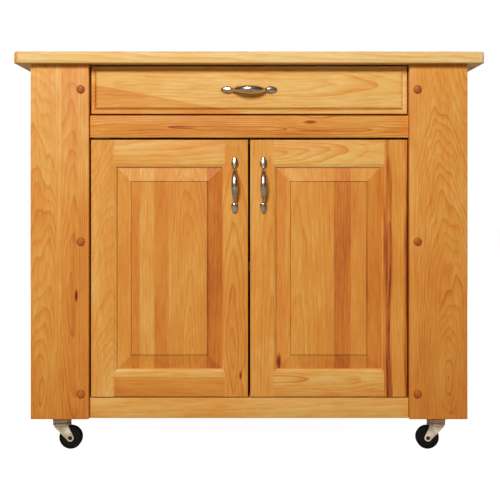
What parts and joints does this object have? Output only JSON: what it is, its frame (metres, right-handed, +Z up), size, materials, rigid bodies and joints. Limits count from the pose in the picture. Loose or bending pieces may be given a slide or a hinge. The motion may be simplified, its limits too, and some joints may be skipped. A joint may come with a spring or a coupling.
{
  "type": "butcher block table",
  "caption": "Kitchen work table on casters: edge-glued wooden slab over a cabinet with a wide drawer and a pair of raised-panel doors.",
  "frame": {"origin": "on the floor, under the middle of the slab", "axes": "+Z up, +X to the right of someone facing the doors, so the doors face -Y"},
  "size_m": [1.022, 0.635, 0.876],
  "materials": {
    "top_wood": "pale edge-glued hardwood, clear satin lacquer",
    "frame_wood": "honey-stained hardwood, satin lacquer",
    "front_wood": "honey-stained hardwood, satin lacquer",
    "panel_wood": "honey-stained glued panels, satin lacquer",
    "cabinet_wood": "plain plywood, thin clear coat",
    "satin_nickel": "satin nickel plate",
    "zinc_steel": "bright zinc plate",
    "wheel_rubber": "moulded black tread"
  },
  "bodies": {
    "cabinet": {"butcher_block_top": "top_wood", "post_front_left": "frame_wood", "post_front_right": "frame_wood", "post_rear_left": "frame_wood", "post_rear_right": "frame_wood", "side_panel_left": "frame_wood", "partition_left": "cabinet_wood", "caster_rail_left": "cabinet_wood", "side_panel_right": "frame_wood", "partition_right": "cabinet_wood", "caster_rail_right": "cabinet_wood", "base_rail": "frame_wood", "mid_rail": "frame_wood", "back_panel": "cabinet_wood", "cabinet_floor": "cabinet_wood", "shelf": "cabinet_wood", "top_stretcher_front": "cabinet_wood", "divider_stretcher": "cabinet_wood", "magnetic_catch": "zinc_steel", "slide_outer_left": "zinc_steel", "pivot_lower_left": "zinc_steel", "pivot_upper_left": "zinc_steel", "slide_outer_right": "zinc_steel", "pivot_lower_right": "zinc_steel", "pivot_upper_right": "zinc_steel", "caster_stem_front_left": "satin_nickel", "caster_stem_front_right": "satin_nickel", "caster_stem_rear_left": "satin_nickel", "caster_stem_rear_right": "satin_nickel"},
    "drawer": {"drawer_front": "front_wood", "drawer_pull": "satin_nickel", "drawer_side_left": "cabinet_wood", "drawer_side_right": "cabinet_wood", "drawer_box_front": "cabinet_wood", "drawer_back": "cabinet_wood", "drawer_bottom": "cabinet_wood", "slide_inner_left": "zinc_steel", "slide_inner_right": "zinc_steel"},
    "slide_middles": {"slide_middle_left": "zinc_steel", "slide_middle_right": "zinc_steel"},
    "door_left": {"door_left_stile_outer": "front_wood", "door_left_stile_inner": "front_wood", "door_left_rail_top": "front_wood", "door_left_rail_bottom": "front_wood", "door_left_panel": "panel_wood", "door_left_pull": "satin_nickel"},
    "door_right": {"door_right_stile_outer": "front_wood", "door_right_stile_inner": "front_wood", "door_right_rail_top": "front_wood", "door_right_rail_bottom": "front_wood", "door_right_panel": "panel_wood", "door_right_pull": "satin_nickel"},
    "caster_fork_front_left": {"caster_fork_front_left": "satin_nickel"},
    "caster_wheel_front_left": {"caster_wheel_front_left": "wheel_rubber"},
    "caster_fork_front_right": {"caster_fork_front_right": "satin_nickel"},
    "caster_wheel_front_right": {"caster_wheel_front_right": "wheel_rubber"},
    "caster_fork_rear_left": {"caster_fork_rear_left": "satin_nickel"},
    "caster_wheel_rear_left": {"caster_wheel_rear_left": "wheel_rubber"},
    "caster_fork_rear_right": {"caster_fork_rear_right": "satin_nickel"},
    "caster_wheel_rear_right": {"caster_wheel_rear_right": "wheel_rubber"}
  },
  "joints": [
    {"name": "drawer_slide", "type": "slide", "parent": "cabinet", "child": "drawer", "axis": [0, -1, 0], "range_m": [0, 0.4]},
    {"name": "slide_middle_travel", "type": "slide", "parent": "cabinet", "child": "slide_middles", "axis": [0, -1, 0], "range_m": [0, 0.2]},
    {"name": "left_door_hinge", "type": "hinge", "parent": "cabinet", "child": "door_left", "pos_m": [-0.3288, -0.275, 0.12], "axis": [0, 0, -1], "range_deg": [0, 105]},
    {"name": "right_door_hinge", "type": "hinge", "parent": "cabinet", "child": "door_right", "pos_m": [0.3288, -0.275, 0.12], "axis": [0, 0, 1], "range_deg": [0, 105]},
    {"name": "caster_swivel_front_left", "type": "hinge", "parent": "cabinet", "child": "caster_fork_front_left", "pos_m": [-0.417, -0.2425, 0.055], "axis": [0, 0, 1], "continuous": true},
    {"name": "wheel_spin_front_left", "type": "hinge", "parent": "caster_fork_front_left", "child": "caster_wheel_front_left", "pos_m": [-0.397, -0.2425, 0.02528], "axis": [0, 1, 0], "continuous": true},
    {"name": "caster_swivel_front_right", "type": "hinge", "parent": "cabinet", "child": "caster_fork_front_right", "pos_m": [0.417, -0.2425, 0.055], "axis": [0, 0, 1], "continuous": true},
    {"name": "wheel_spin_front_right", "type": "hinge", "parent": "caster_fork_front_right", "child": "caster_wheel_front_right", "pos_m": [0.397, -0.2425, 0.02528], "axis": [0, 1, 0], "continuous": true},
    {"name": "caster_swivel_rear_left", "type": "hinge", "parent": "cabinet", "child": "caster_fork_rear_left", "pos_m": [-0.417, 0.2425, 0.055], "axis": [0, 0, 1], "continuous": true},
    {"name": "wheel_spin_rear_left", "type": "hinge", "parent": "caster_fork_rear_left", "child": "caster_wheel_rear_left", "pos_m": [-0.397, 0.2425, 0.02528], "axis": [0, 1, 0], "continuous": true},
    {"name": "caster_swivel_rear_right", "type": "hinge", "parent": "cabinet", "child": "caster_fork_rear_right", "pos_m": [0.417, 0.2425, 0.055], "axis": [0, 0, 1], "continuous": true},
    {"name": "wheel_spin_rear_right", "type": "hinge", "parent": "caster_fork_rear_right", "child": "caster_wheel_rear_right", "pos_m": [0.397, 0.2425, 0.02528], "axis": [0, 1, 0], "continuous": true}
  ],
  "couplings": [
    {"joint": "slide_middle_travel", "follows": "drawer_slide", "ratio": 0.5}
  ]
}
